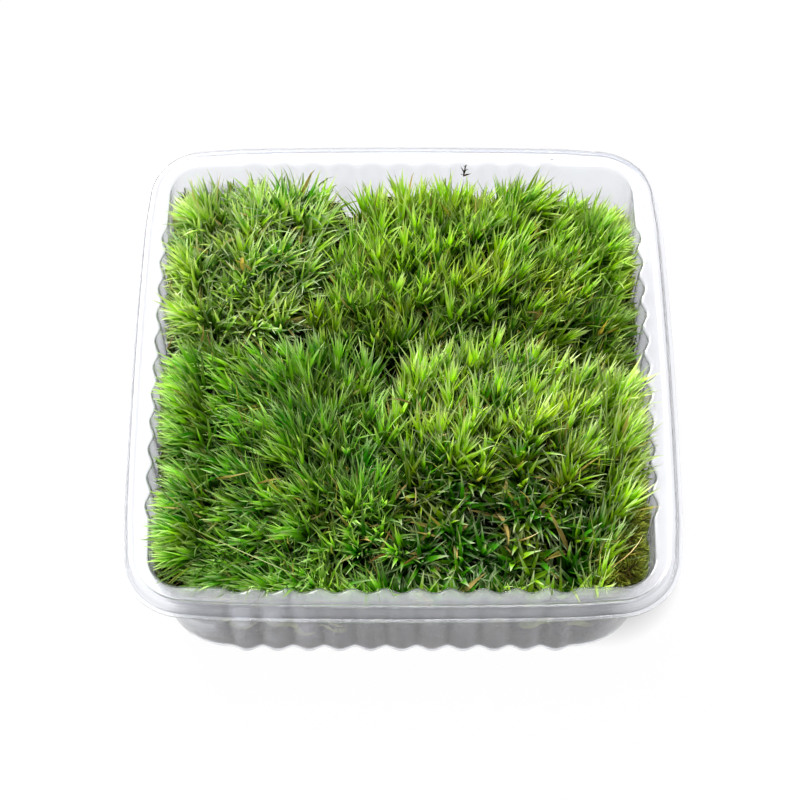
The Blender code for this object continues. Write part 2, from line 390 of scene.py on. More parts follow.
# How far out leaves may hang over the tray's flange, and the corner radius there
OVERHANG, OVERHANG_RADIUS = 68 * MM, 14 * MM
# What height the shoots in the valleys stretch towards, and how low a shoot may stand
CANOPY_HEIGHT = 39.5 * MM
LOWEST_SHOOT = 20 * MM
# Places are tried at random, this far apart on average
TRY_SPACING = 0.55 * MM


def unit(vectors):
    """The vectors, each made one long."""
    return vectors / np.maximum(np.linalg.norm(vectors, axis=-1, keepdims=True), 1e-12)


def keep_off_sheet(points):
    """Keeps leaves off the tray: they press against its walls, and over its mouth they hang out."""
    points[:, 2] = np.maximum(points[:, 2], 0.8 * MM)
    # The few tips that would stand far above the rest bend over.
    points[:, 2] -= 0.65 * np.maximum(points[:, 2] - TIP_HEIGHT, 0)
    inner = inside_tray(points.copy(), LEAF_CLEARANCE, into_flutes=1.0)
    over = np.clip((points[:, 2] - MOUTH_HEIGHT) / (0.8 * MM), 0, 1)
    each = np.ones(len(points))
    outer = keep_within(points.copy(), each * OVERHANG, each * OVERHANG_RADIUS)
    points[:, :2] = inner[:, :2] * (1 - over)[:, None] + outer[:, :2] * over[:, None]
    return points


def leaf_points(root, axis, out, angle, turn, sweep, length, width, twist, fold, shape):
    """Points of many leaves at once: three across at each station and one at the tip."""
    count, steps = len(root), len(shape)
    across = unit(np.cross(axis, out))
    place = root.copy()
    points = np.empty((count, steps * 3 + 1, 3))
    for step in range(steps + 1):
        share = step / steps
        lean = angle + turn * share
        along = unit(axis * np.cos(lean)[:, None] + out * np.sin(lean)[:, None] + sweep * share)
        if step == steps:
            points[:, -1] = place
            break
        side = unit(across - along * np.sum(across * along, axis=1, keepdims=True))
        upper = np.cross(along, side)
        bend = (twist * share)[:, None]
        cosine, sine = np.cos(bend), np.sin(bend)
        side, upper = side * cosine + upper * sine, upper * cosine - side * sine
        half = (width * shape[step] / 2)[:, None]
        rise = upper * half * np.sin(fold)[:, None]
        reach = side * half * np.cos(fold)[:, None]
        points[:, step * 3] = place - reach + rise
        points[:, step * 3 + 1] = place
        points[:, step * 3 + 2] = place + reach + rise
        place = place + along * (length / steps)[:, None]
    return points


def leaf_faces(count, steps):
    """Four-sided faces up each leaf and two triangles at its tip, as corner numbers."""
    quads = []
    for step in range(steps - 1):
        a = step * 3
        quads.append((a, a + 1, a + 4, a + 3))
        quads.append((a + 1, a + 2, a + 5, a + 4))
    a = (steps - 1) * 3
    tris = [(a, a + 1, steps * 3), (a + 1, a + 2, steps * 3)]
    first = np.arange(count)[:, None, None] * (steps * 3 + 1)
    quads = (np.array(quads)[None] + first).reshape(-1, 4)
    tris = (np.array(tris)[None] + first).reshape(-1, 3)
    return quads, tris


def mesh_piece(name, points, quads, tris, traits, material):
    """One object from arrays of points, faces and the four traits that its material reads."""
    data = bpy.data.meshes.new(name)
    data.vertices.add(len(points))
    data.vertices.foreach_set("co", points.astype(np.float32).ravel())
    corners = np.concatenate([quads.ravel(), tris.ravel()]).astype(np.int32)
    data.loops.add(len(corners))
    data.loops.foreach_set("vertex_index", corners)
    starts = np.concatenate([
        np.arange(len(quads)) * 4,
        len(quads) * 4 + np.arange(len(tris)) * 3,
    ]).astype(np.int32)
    data.polygons.add(len(starts))
    data.polygons.foreach_set("loop_start", starts)
    data.update(calc_edges=True)
    data.validate()
    layer = data.attributes.new("growth", "FLOAT_COLOR", "POINT")
    layer.data.foreach_set("color", traits.astype(np.float32).ravel())
    data.shade_smooth()
    data.materials.append(material)
    piece = bpy.data.objects.new(name, data)
    bpy.context.scene.collection.objects.link(piece)
    return piece


def canopy_tree(*names):
    """The surface of these clumps, to stand shoots on."""
    points, faces = [], []
    for name in names:
        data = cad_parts[name].data
        first = len(points)
        points += [vert.co.copy() for vert in data.vertices]
        faces += [[first + corner for corner in face.vertices] for face in data.polygons]
    return BVHTree.FromPolygons(points, faces)


def look_down(tree, place):
    """Where a line straight down meets the canopy, and which way it faces there, or None twice."""
    return tree.ray_cast(Vector((place[0], place[1], 0.1)), Vector((0, 0, -1)))[:2]


def scatter(tree, low, high, spacing, seed):
    """Places on a clump's canopy at least spacing(x, y) apart: point and outward normal of each."""
    rng = np.random.default_rng(seed)
    tries = int((high[0] - low[0]) * (high[1] - low[1]) / TRY_SPACING ** 2)
    plan = rng.uniform(low[:2], high[:2], (tries, 2))
    kept = np.empty((tries, 2))
    found = []
    for x, y in plan:
        gap = spacing(x, y)
        near = kept[:len(found)]
        if gap <= 0 or len(found) and np.min(np.sum((near - (x, y)) ** 2, axis=1)) < gap * gap:
            continue
        hit, normal = look_down(tree, (x, y))
        if hit is None or hit.z < LOWEST_SHOOT:
            continue
        kept[len(found)] = x, y
        # In the valleys the shoots stretch up to the light, most on the left.
        stretch = 0.9 if x < -8 * MM else 0.75
        found.append((hit.x, hit.y, hit.z + stretch * max(0, CANOPY_HEIGHT - hit.z), *normal))
    found = np.array(found)
    return found[:, :3], unit(found[:, 3:])


def wall_places(low, high, step, seed, depth=1.6, into_flutes=0.3):
    """Places just inside the walls, between two heights in mm: point and outward normal of each."""
    rng = np.random.default_rng(seed)
    places, normals = [], []
    for cosine, sine in QUARTER_TURNS:
        for along in np.arange(-57, 57.1, 2.9):
            for height in np.arange(low, high, step):
                x = along + rng.uniform(-1.4, 1.4)
                y = -62.5 - into_flutes + rng.uniform(0, depth)
                level = height + rng.uniform(-1, 1) * step / 2.2
                places.append((cosine * x - sine * y, sine * x + cosine * y, level))
                normals.append((sine, -cosine, 0))
    return inside_tray(np.array(places) * MM, 0.6 * MM, into_flutes), np.array(normals, float)


def rim_places(tree, seed):
    """Places for the shoots of one clump that lean on the tray's mouth."""
    places, normals = wall_places(38.5, 42, 2.2, seed, depth=0.8, into_flutes=0.9)
    owned = []
    for place, normal in zip(places, normals):
        hit, _ = look_down(tree, place - normal * 5 * MM)
        slack = 7 if np.min(np.abs(place[:2])) > 48 * MM else 3
        owned.append(hit is not None and hit.z > place[2] - slack * MM and normal[1] < 0.5)
        # At the sides the moss has grown out over the tray's mouth, and at the front it stays in it.
        place[2] += 1.8 * MM * abs(normal[0]) - 2.2 * MM * (normal[1] < -0.5)
    return places[owned], normals[owned]


def join_places(inner, edge, owns):
    """Joins a clump's places with those at the tray's edge that it owns: points and normals."""
    kept = [owns(x, y) for x, y, _ in edge[0]]
    return [np.concatenate([first, second[kept]]) for first, second in zip(inner, edge)]


# Unseeded, noise_vector draws new offsets in each run.
noise.seed_set(1)


def waver(x, y, size, seed):
    """A smooth swing of about -1 to 1 across the canopy, in two directions."""
    swing = noise.noise_vector(Vector((x / size, y / size, seed)))
    return swing.x * 1.4, swing.y * 1.4


# What leaf_points takes for each leaf
LEAF_KEYS = ("root", "axis", "out", "angle", "turn", "sweep", "length", "width", "twist", "fold")
# How strongly stems grow towards the light, against leaning and standing off their ground
UPWARD_PULL = 0.9
# A habit says how a shoot grows: how many leaves it has, their spread from the stem and their
# recurve in degrees, and in mm their length and width, the leafy part of the stem (brush) and how
# deep it stands (sink). The rest are shares. tone sets how light the leaves are, and shade is painted
# shade: it darkens a shoot's leaves where the moss lies in shadow. What a habit doesn't say is as here.
USUAL_HABIT = dict(brush=6.5, curl=0.3, sweep=(0, 0, 0), shade=0.0, stand=0.3, sink=-4.0)


def shoots(places, normals, seed, rule):
    """The leaves of all shoots at these places, as arrays. rule(x, y) gives the habit of each shoot."""
    rng = np.random.default_rng(seed)
    rows = {key: [] for key in (*LEAF_KEYS, "traits")}
    up = np.array((0.0, 0.0, 1.0))
    for place, normal in zip(places, normals):
        habit = USUAL_HABIT | rule(place[0], place[1])
        count = habit["leaves"]
        axis = normal * habit["stand"] + up * UPWARD_PULL + np.array(habit["lean"] + (0.0,))
        axis = unit(axis + rng.normal(0, habit["stray"], 3))
        rise = waver(place[0], place[1], 6 * MM, seed + 0.5)[0] + rng.uniform(-1.0, 1.0)
        head = place - axis * (habit["length"] * 0.60 + habit["sink"] - rise) * MM
        share = (np.arange(count) + 0.5) / count
        # The stem comes up straight and leans over towards its head.
        depth = (1.2 + habit["brush"] * share) * MM
        upright = np.clip(depth / (16 * MM), 0, 0.7)[:, None]
        stem = unit(axis * (1 - upright) + up * upright)
        root = head - unit(axis + stem) * depth[:, None]
        helper = unit(np.cross(stem, (0.3, 1.0, 0.2)))
        other = np.cross(stem, helper)
        turns = np.arange(count) * GOLDEN_ANGLE + rng.uniform(0, 2 * math.pi)
        turns = turns + rng.normal(0, 0.3, count)
        inner, outer = habit["spread"]
        rows["root"].append(root)
        rows["axis"].append(stem)
        rows["out"].append(np.cos(turns)[:, None] * helper + np.sin(turns)[:, None] * other)
        angle = np.radians(inner + (outer - inner) * share ** 0.8)
        rows["angle"].append(angle + rng.normal(0, 0.08, count))
        size = habit["length"] * MM * (0.66 + 0.42 * share) * rng.uniform(0.75, 1.12, count)
        size *= 1 + 0.12 * (rng.random(count) < 0.02)
        rows["length"].append(size)
        rows["turn"].append(np.radians(habit["recurve"]) * (0.3 + share) + rng.normal(0, 0.25, count))
        curve = np.array(habit["sweep"]) + np.array((*rng.normal(0, habit["curl"], 2), 0))
        sweep = curve[None] * (0.4 + 0.8 * share)[:, None]
        rows["sweep"].append(sweep + rng.normal(0, 0.09, (count, 3)))
        rows["width"].append(habit["width"] * MM * rng.uniform(0.7, 1.2, count))
        rows["twist"].append(rng.normal(0, 0.8, count))
        rows["fold"].append(rng.uniform(0.25, 0.75, count))
        # Painted shade: shade lowers the leaves' tone and adds to their age, which darkens them too.
        tone = habit["tone"] - 0.3 * habit["shade"] + rng.normal(0, 0.10, count) + rng.normal(0, 0.22)
        dead = (rng.random(count) < habit["dead"] * (0.3 + 1.4 * share)) * rng.uniform(0.4, 1.0, count)
        age_and_shade = np.clip(share + 0.5 * habit["shade"], 0, 1)
        rows["traits"].append(np.stack([np.clip(tone, 0, 1), age_and_shade, dead], 1))
    return {key: np.concatenate(value) for key, value in rows.items()}


def leaves_piece(name, leaves, material, shape=LEAF_SHAPE):
    """Joins leaves into one piece. Its traits: share of the leaf's length, tone and age, both with
    painted shade in them, and deadness.
    """
    points = leaf_points(*(leaves[key] for key in LEAF_KEYS), shape)
    count, each, _ = points.shape
    quads, tris = leaf_faces(count, len(shape))
    along = np.repeat(np.arange(len(shape)) / len(shape), 3).tolist() + [1.0]
    traits = np.empty((count, each, 4))
    traits[:, :, 0] = np.array(along)[None]
    traits[:, :, 1:] = leaves["traits"][:, None, :]
    flat = keep_off_sheet(points.reshape(-1, 3))
    return mesh_piece(name, flat, quads, tris, traits.reshape(-1, 4), material)


def leaf_material(name, base, middle, light, tip, yellow, dead, glow=0.42, tips=0.5):
    """Damp moss leaf: thin, so light passes through it. Its base is darker as painted shade; leaves low
    on their shoot are darker, partly with age and partly as painted shade, and so are shoots in painted
    shade; its pale tip is partly its own colour and partly a painted sheen.
    """
    material = new_material(name)
    growth = add_node(material, "Attribute", attribute_name="growth")
    traits = add_node(material, "SeparateColor", Color=growth.outputs["Color"])
    along, tone, age_and_shade = (traits.outputs[key] for key in ("Red", "Green", "Blue"))
    place = add_node(material, "TexCoord").outputs["Object"]
    # Patches some 12 mm across, as shoots of one tuft share a tone, and the leaf's own cell rows, drawn
    # as coarse as they need to show.
    patch = add_node(material, "TexNoise", Vector=place, Scale=85.0, Detail=2.0)
    cells = add_node(material, "TexNoise", Vector=place, Scale=2600.0, Detail=2.0)
    mixed = add_node(material, "Math", operation="MULTIPLY_ADD", i0=patch, i1=0.9, i2=tone)
    shade = add_node(material, "Math", operation="MULTIPLY_ADD", i0=cells, i1=0.25, i2=mixed)
    green = add_node(material, "ValToRGB", stops=((0.55, middle), (0.96875, light)), i0=shade)
    # Painted sheen in part: the pale tip colour over the leaf's outer part. Painted shade: the base
    # colour over its lower part, and over old leaves and shaded ones.
    at_tip = add_node(material, "MapRange", i0=along, From_Min=0.58, To_Max=tips)
    at_base = add_node(
        material, "MapRange", i0=along, From_Min=0.1, From_Max=0.55, To_Min=1.0, To_Max=0.0,
    )
    aged_and_shaded = add_node(material, "MapRange", i0=age_and_shade, From_Min=0.25, To_Max=0.75)
    yellowed = add_node(material, "MapRange", i0=patch, From_Min=0.52, From_Max=0.68, To_Max=0.6)
    colour = green
    for share, code in (
        (yellowed, yellow), (at_tip, tip), (at_base, base), (aged_and_shaded, base),
        (growth.outputs["Alpha"], dead),
    ):
        mix = add_node(material, "Mix", data_type="RGBA", i0=share, i6=colour, i7=linear(code))
        colour = mix.outputs[2]
    shader = add_node(
        material, "BsdfPrincipled", Base_Color=colour, Roughness=0.5, IOR=1.38, Specular_IOR_Level=0.12,
    )
    # Light that has passed through a leaf is yellower than light off its face.
    passed = add_node(
        material, "Mix", data_type="RGBA", blend_type="MULTIPLY",
        i0=1.0, i6=colour, i7=(1.08, 1.14, 0.42, 1),
    )
    through = add_node(material, "BsdfTranslucent", Color=passed.outputs[2])
    return set_surface(material, add_node(material, "MixShader", i0=glow, i1=shader, i2=through))


def lower_storey(rule):
    """The habit of the shorter shoots that stand between the tall ones, darker by painted shade."""
    def habit(x, y):
        tall = rule(x, y)
        tall.update(
            leaves=15, length=tall["length"] * 0.85, sink=tall["sink"] + 4.0,
            shade=tall["shade"] + 0.9, stray=0.25, curl=0.3, dead=0.08,
        )
        return tall
    return habit


def grow(clump, name, material, spacing, rule, seed):
    """Grows one clump's shoots on its canopy and puts them in place of its solid."""
    tree = canopy_tree(clump)
    low, high = (np.array(corner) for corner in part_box(clump))
    wide = scatter(tree, low, high, spacing, seed)
    tall_places = join_places(wide, rim_places(tree, seed + 2), lambda x, y: spacing(x, y) > 0)
    tall = shoots(*tall_places, seed + 1, rule)
    close = scatter(tree, low, high, lambda x, y: min(spacing(x, y), 3.8 * MM), seed + 3)
    short = shoots(*close, seed + 4, lower_storey(rule))
    leaves = {key: np.concatenate([tall[key], short[key]]) for key in tall}
    piece = leaves_piece(name, leaves, material)
    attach(piece, "root")
    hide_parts(clump)


def smooth(value, start, end):
    """0 before start, 1 after end, and a smooth step between them."""
    share = min(1.0, max(0.0, (value - start) / (end - start)))
    return share * share * (3 - 2 * share)


def by_wall(x, y):
    """0 in the middle of the tray and 1 near its walls."""
    return smooth(max(abs(x), abs(y)), 52 * MM, 60 * MM)


# ---- Back left clump ----
# Pale fork-moss with long leaves that stand out in all directions from a low dome.

# The pale leaf's near-white tip colour, mixed far up each leaf, is partly a painted sheen.
pale_leaf = leaf_material(
    "pale fork-moss leaf", base="#0d3503", middle="#4c9a14", light="#acdc48", tip="#f2f8d8",
    yellow="#b0cc2e", dead="#c0a668", tips=0.9,
)


def pale_habit(x, y):
    sway = waver(x, y, 10 * MM, 21.5)
    dx, dy = x + 38 * MM, y - 26 * MM
    lean = (dx * 26 + sway[0] * 0.5, 0.15 + dy * 18 + sway[1] * 0.5)
    # Painted shade: darker on the dome's lower right, and by a lower tone near the walls, where the
    # shoots at the edge stand in more light.
    shade = smooth(x, -32 * MM, -20 * MM) * (1 - smooth(y, 14 * MM, 30 * MM))
    crest = math.exp(-((x + 34 * MM) / (10 * MM)) ** 2)
    return dict(
        leaves=25, lean=lean, spread=(5, 32), recurve=40, length=17.5, width=1.65,
        sweep=(lean[0] * 0.35, lean[1] * 0.35, -0.10), tone=0.45 - 0.15 * by_wall(x, y),
        shade=0.6 * shade, dead=0.025, stray=0.17, stand=0.5,
        sink=-1.0 + 3.2 * smooth(y, 40 * MM, 58 * MM) * (1 - crest),
    )


grow(
    "clump_back_left", "leaves_back_left", pale_leaf, lambda x, y: (5.4 - 1.5 * by_wall(x, y)) * MM,
    pale_habit, 101,
)


# ---- Back right clump ----
# The brightest, most upright moss of the four: brushes that lean to the back right at its right end.

bright_leaf = leaf_material(
    "bright fork-moss leaf", base="#0d3500", middle="#4a9c04", light="#a4dc14", tip="#e8f2b4",
    yellow="#bcd00e", dead="#bca258", tips=0.8,
)


def bright_habit(x, y):
    sway = waver(x, y, 10 * MM, 33.5)
    right = smooth(x, 0, 50 * MM)
    # low is the front slope that falls into the valley; there painted shade darkens the shoots.
    low = 1 - smooth(y, 12 * MM, 32 * MM)
    lean = (0.05 + 0.75 * right + sway[0] * 0.35, 0.72 - 0.25 * right - 0.2 * low + sway[1] * 0.35)
    return dict(
        leaves=24, lean=lean, spread=(3, 25), recurve=20, length=16.5, width=1.45, curl=0.13,
        sweep=(lean[0] * 0.3, lean[1] * 0.2, 0.0), tone=0.46, shade=0.85 * low, dead=0.015, stray=0.13,
        sink=-1.0 + (1.5 + 5.0 * smooth(x, 38 * MM, 58 * MM)) * smooth(y, 36 * MM, 58 * MM),
    )


grow(
    "clump_back_right", "leaves_back_right", bright_leaf, lambda x, y: (5.4 - 1.6 * by_wall(x, y)) * MM,
    bright_habit, 202,
)


# ---- Front left clump ----
# Deep green moss, combed flat towards the left wall.

deep_leaf = leaf_material(
    "deep green fork-moss leaf", base="#082a00", middle="#3a9e0a", light="#92da2c", tip="#e6f4bc",
    yellow="#9cc21a", dead="#c4ab6c", tips=0.8,
)


def deep_habit(x, y):
    sway = waver(x, y, 10 * MM, 47.5)
    left = 1 - smooth(x, -50 * MM, -12 * MM)
    front = 1 - smooth(y, -52 * MM, -22 * MM)
    rim = 1 - smooth(y, -62 * MM, -54 * MM)
    lean = (
        0.05 - 1.35 * left - 0.45 * front + sway[0] * 0.5,
        0.75 - 0.25 * left - 1.05 * front + 0.45 * rim + sway[1] * 0.5,
    )
    # Painted shade: darker in the clump's middle, and by a lower tone near the walls, where the shoots
    # at the edge stand in more light.
    middle = smooth(x, -46 * MM, -30 * MM) * (1 - smooth(x, -14 * MM, -2 * MM)) * (1 - front)
    return dict(
        leaves=24, lean=lean, spread=(3, 27), recurve=28, length=17.0, width=1.45, curl=0.15,
        sweep=(lean[0] * 0.4, lean[1] * 0.4, 0.0), tone=0.45 - 0.12 * by_wall(x, y),
        shade=0.05 + 0.25 * middle, dead=0.02, stray=0.15, sink=-1.0,
    )


grow(
    "clump_front_left", "leaves_front_left", deep_leaf, lambda x, y: (5.4 - 1.6 * by_wall(x, y)) * MM,
    deep_habit, 303,
)


# ---- Front right clump ----
# Fresh green moss. Its back crest stands up in pale brushes; at the front the shoots are open stars
# with dark gaps between them.

fresh_leaf = leaf_material(
    "fresh fork-moss leaf", base="#0a2c00", middle="#4aa408", light="#b8ec2c", tip="#f6fad4",
    yellow="#c2d61a", dead="#c0a662", tips=0.9,
)


def openness(x, y):
    """1 where the shoots of the front right clump are open stars, 0 on its crest."""
    return (1 - smooth(y, -36 * MM, -12 * MM)) * (1 - smooth(x, 42 * MM, 58 * MM))


def fine_corner(x, y):
    """True in the strip along the right wall's front end where a finer moss grows."""
    edge = 61.5 - 6.5 * (1 - smooth(y, -52 * MM, -34 * MM)) + 0.8 * math.sin(y * 500)
    return x > edge * MM and y < -30 * MM or x > 52 * MM and y < -56 * MM


def fresh_habit(x, y):
    sway = waver(x, y, 10 * MM, 59.5)
    star = openness(x, y)
    right = smooth(x, 18 * MM, 52 * MM)
    loose = 0.32 + 0.35 * star
    rim = 1 - smooth(y, -62 * MM, -54 * MM)
    lean = (
        0.10 + 0.75 * right * (1 - 0.4 * star) + sway[0] * loose,
        0.85 - 0.75 * star + 0.4 * rim + sway[1] * loose,
    )
    # Painted shade: where the shoots open into stars, a lower tone and shade darken them.
    return dict(
        leaves=int(24 - 7 * star), lean=lean, spread=(3 + 15 * star, 26 + 48 * star),
        recurve=16 + 34 * star, length=16.5 - 2.5 * star, width=1.45 + 0.15 * star,
        brush=6.5 - 2.0 * star, curl=0.14 + 0.26 * star, sweep=(lean[0] * 0.3, lean[1] * 0.2, 0.0),
        tone=0.53 - 0.42 * star, shade=0.8 * star, dead=0.02, stray=0.12, stand=0.35,
        sink=-1.0 + 0.8 * star - 0.6 * smooth(y, -4 * MM, 8 * MM),
    )


grow(
    "clump_front_right", "leaves_front_right", fresh_leaf,
    lambda x, y: 0 if fine_corner(x, y) else (5.3 + 1.2 * openness(x, y) - 1.6 * by_wall(x, y)) * MM,
    fresh_habit, 404,
)


# ---- Fine moss in the front right corner ----
# A second, much finer moss: short threads in a felt, yellow green on top and olive brown below.

fine_leaf = leaf_material(
    "fine feather-moss thread", base="#1e1a08", middle="#525e18", light="#a6b240", tip="#ccd878",
    yellow="#a2a42c", dead="#54431f", glow=0.3,
)


def fine_habit(x, y):
    sway = waver(x, y, 5 * MM, 91.5)
    front = 1 - smooth(y, -50 * MM, -34 * MM)
    # Towards the front the threads are darker by painted shade, and more of them are brown.
    return dict(
        leaves=40, lean=(0.25 + sway[0] * 0.8, sway[1] * 0.8), spread=(8, 75), recurve=16, length=4.2,
        width=0.36, curl=0.2, tone=0.74 - 0.38 * front, dead=0.05 + 0.25 * front, stray=0.3, stand=0.7,
        sink=-1.8 + 1.6 * front,
    )


fine_tree = canopy_tree("clump_front_right")
fine_low, fine_high = (np.array(corner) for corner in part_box("clump_front_right"))
fine_inner = scatter(
    fine_tree, fine_low, fine_high, lambda x, y: 1.5 * MM if fine_corner(x, y) else 0, 505,
)
fine_rim = rim_places(fine_tree, 506)
fine_wall = wall_places(30, 39, 1.8, 508, depth=0.6, into_flutes=1.0)
fine_edge = [np.concatenate(pair) for pair in zip(fine_rim, fine_wall)]
fine = shoots(*join_places(fine_inner, fine_edge, fine_corner), 507, fine_habit)
fine_piece = leaves_piece("fine_moss_front_right", fine, fine_leaf, LEAF_SHAPE[::2])
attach(fine_piece, "root")


# ---- Humus along the walls ----
# Crumbled dead moss, washed down by watering, fills the flutes at the foot of the walls and lies as a
# bed between the clumps. Its near-black brown is partly painted shade at the foot of the walls. One
# piece: a ring with an uneven top edge, closed by the bed.


def humus_ring(height, inset):
    """Points that follow the inside of the tray's wall at a height in mm, set in from the sheet."""
    half, radius = wall_at((height - WALL_START) / WALL_HEIGHT)
    return tray_ring(half - SHEET / MM - inset, radius - inset, 0.2, max(0.0, 1.25 - 0.3 * inset))


# Height and gap to the wall, both in mm, from the foot up and over the ring's top edge
HUMUS_ROWS = (
    (0.5, 0.55), (0.9, 0.35), (1.6, 0.25), (3.0, 0.3), (6.0, 0.6), (10.0, 1.0),
    (14.0, 1.3), (18.0, 1.3), (21.0, 1.5), (22.5, 2.2), (21.5, 3.2),
)
heights = np.array([row[0] for row in HUMUS_ROWS])
humus, points, level, _ = loft(
    "humus_along_walls", [humus_ring(*row) for row in HUMUS_ROWS], heights * MM, "NOTHING",
)
heights = heights[level]
for number, (x, y, _) in enumerate(points):
    share = max(0.0, heights[number] - 3.0) / 19.0
    sway = noise.noise(Vector((x, y, 0)) * 70) * 7.0 + noise.noise(Vector((x, y, 1)) * 350) * 2.0
    # At the back, where the clear wall shows above the moss, its edge stays low.
    points[number, 2] = (heights[number] + share * (min(sway, -4.0) if y > 50 * MM else sway)) * MM
move_points(humus.data, points)
# The bed, from wall to wall
bpy.ops.object.mode_set(mode="EDIT")
bpy.ops.mesh.select_all(action="DESELECT")
bpy.ops.object.mode_set(mode="OBJECT")
humus.data.vertices.foreach_set("select", level == len(HUMUS_ROWS) - 1)
bpy.ops.object.mode_set(mode="EDIT")
bpy.ops.mesh.edge_face_add()
bpy.ops.mesh.poke()
turn_outwards(humus)
bpy.ops.object.shade_smooth()

crumbs = new_material("wet humus")
place = add_node(crumbs, "TexCoord").outputs["Object"]
grains = add_node(crumbs, "TexVoronoi", Vector=place, Scale=900.0)
drift = add_node(crumbs, "TexNoise", Vector=place, Scale=120.0, Detail=5.0)
speckle = add_node(
    crumbs, "Math", operation="MULTIPLY_ADD", i0=grains.outputs["Distance"], i1=0.35, i2=drift,
)
# Painted shade in part: near-black browns that darken the walls' foot.
brown = add_node(
    crumbs, "ValToRGB", stops=((0.38, "#0e0a07"), (0.66, "#261e15"), (0.92, "#5a4a34")), i0=speckle,
)
crumb_bump = add_node(crumbs, "Bump", Strength=0.8, Distance=0.4 * MM, Height=speckle)
crumb = add_node(
    crumbs, "BsdfPrincipled",
    Base_Color=brown, Roughness=0.8, Specular_IOR_Level=0.03, Normal=crumb_bump,
)
set_surface(crumbs, crumb)
humus.data.materials.append(crumbs)
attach(humus, "root")


# ---- Old shoots along the walls ----
# Behind the clear walls the moss shows from the side: stems with short dead leaves, brown at the
# bottom and olive further up, pressed flat against the sheet.

old_leaf = leaf_material(
    "old fork-moss leaf", base="#0e0c07", middle="#1e1c10", light="#3c3c22", tip="#6a6a48",
    yellow="#4a4424", dead="#3c3020", tips=0.3, glow=0.10,
)

every_clump = canopy_tree(*CLUMPS)


def under_canopy(places, normals):
    """Those of the places by the walls that lie well below the moss beside them."""
    kept = []
    for place, normal in zip(places, normals):
        hit, _ = look_down(every_clump, place - normal * 6 * MM)
        # At the back the clear wall shows above the moss, so they stay lower there.
        margin = 16 if normal[1] > 0.5 else 4
        kept.append(hit is not None and place[2] < hit.z - margin * MM)
    return places[kept], normals[kept]


def old_habit(x, y):
    sway = waver(x + y, y - x, 9 * MM, 71.5)
    return dict(
        leaves=9, lean=(sway[0] * 0.5, sway[1] * 0.5), spread=(10, 42), recurve=20, length=7.0,
        width=0.9, brush=6.0, tone=0.3, dead=0.3, stray=0.2, stand=0.25,
    )


old = shoots(*under_canopy(*wall_places(7, 26, 4.5, 606)), 607, old_habit)
old_piece = leaves_piece("old_leaves_along_walls", old, old_leaf, LEAF_SHAPE[::2])
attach(old_piece, "root")


# ---- Young shoots along the walls ----
# Above the old leaves the side shoots are alive: pale green leaves pressed against the sheet, up to
# the mouth.

side_leaf = leaf_material(
    "shaded fork-moss leaf", base="#4a5a24", middle="#7c9a44", light="#b4cc7c", tip="#dce8b8",
    yellow="#b2b85a", dead="#a08c58", tips=0.6,
)


def side_habit(x, y):
    sway = waver(x + y, y - x, 9 * MM, 83.5)
    return dict(
        leaves=12, lean=(sway[0] * 0.6, sway[1] * 0.6), spread=(6, 34), recurve=12, length=9.0,
        width=0.95, brush=6.0, tone=0.4, dead=0.08, stray=0.22,
    )


side = shoots(*under_canopy(*wall_places(28, 36, 4.0, 616)), 617, side_habit)
side_piece = leaves_piece("young_leaves_along_walls", side, side_leaf, LEAF_SHAPE[::2])
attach(side_piece, "root")


# ---- Leaves pressed on the front wall ----
# Olive bits of moss that hang down behind the front wall, wet and flat against the sheet. A folded
# leaf that is pressed flat is half as wide again.

pressed_leaf = leaf_material(
    "moss pressed on the sheet", base="#6a7834", middle="#94a254", light="#b0b86c", tip="#bcc484",
    yellow="#a0a050", dead="#6a5630", tips=0.4, glow=0.2,
)

# Place along the front wall and height in mm, direction in degrees from +X, rise, length and folded
# width in mm, curve, share of brown
PRESSED_LEAVES = (
    (-49.0, 18.5, 0, -0.2, 9.0, 2.2, 0.5, 0.1), (-44.0, 16.0, 0, -0.1, 8.0, 2.6, 0.4, 0.0),
    (-37.0, 18.0, 180, -0.3, 7.0, 2.4, 0.3, 0.3), (-34.0, 20.5, 0, -1.2, 8.0, 3.0, 0.6, 0.1),
    (-30.0, 17.0, 0, -0.8, 7.0, 2.6, -0.5, 0.0), (-27.5, 11.5, 0, -0.2, 6.0, 2.0, 0.4, 0.2),
    (-21.0, 20.0, 0, -0.9, 9.0, 1.8, 0.5, 0.4), (-14.0, 13.0, 180, 0.1, 8.0, 2.0, 0.4, 0.2),
    (-8.0, 20.0, 0, -0.5, 6.0, 1.8, 0.3, 0.0), (21.0, 20.5, 0, -0.4, 7.0, 2.2, 0.8, 0.2),
    (30.0, 17.0, 0, -0.2, 8.0, 3.2, 0.4, 0.0), (38.0, 20.0, 180, -0.6, 6.0, 2.2, 0.3, 0.6),
    (42.0, 17.5, 0, -0.6, 7.0, 2.6, 0.4, 0.1), (49.0, 14.5, 180, 0.0, 6.0, 2.0, 0.2, 0.5),
    (-50.0, 30.0, 0, 0.1, 10.0, 2.4, 0.2, 0.1), (-40.0, 26.0, 0, -0.1, 9.0, 2.0, 0.4, 0.2),
    (-24.0, 29.0, 0, 0.2, 8.0, 2.2, -0.4, 0.0), (-12.0, 27.0, 0, 0.0, 9.0, 2.0, 0.5, 0.3),
    (0.0, 30.0, 0, -0.2, 8.0, 2.4, 0.3, 0.1), (10.0, 25.0, 0, 0.1, 9.0, 1.8, -0.4, 0.4),
    (26.0, 29.0, 0, 0.0, 9.0, 2.2, 0.4, 0.2), (40.0, 27.0, 0, -0.1, 8.0, 2.0, 0.4, 0.5),
)


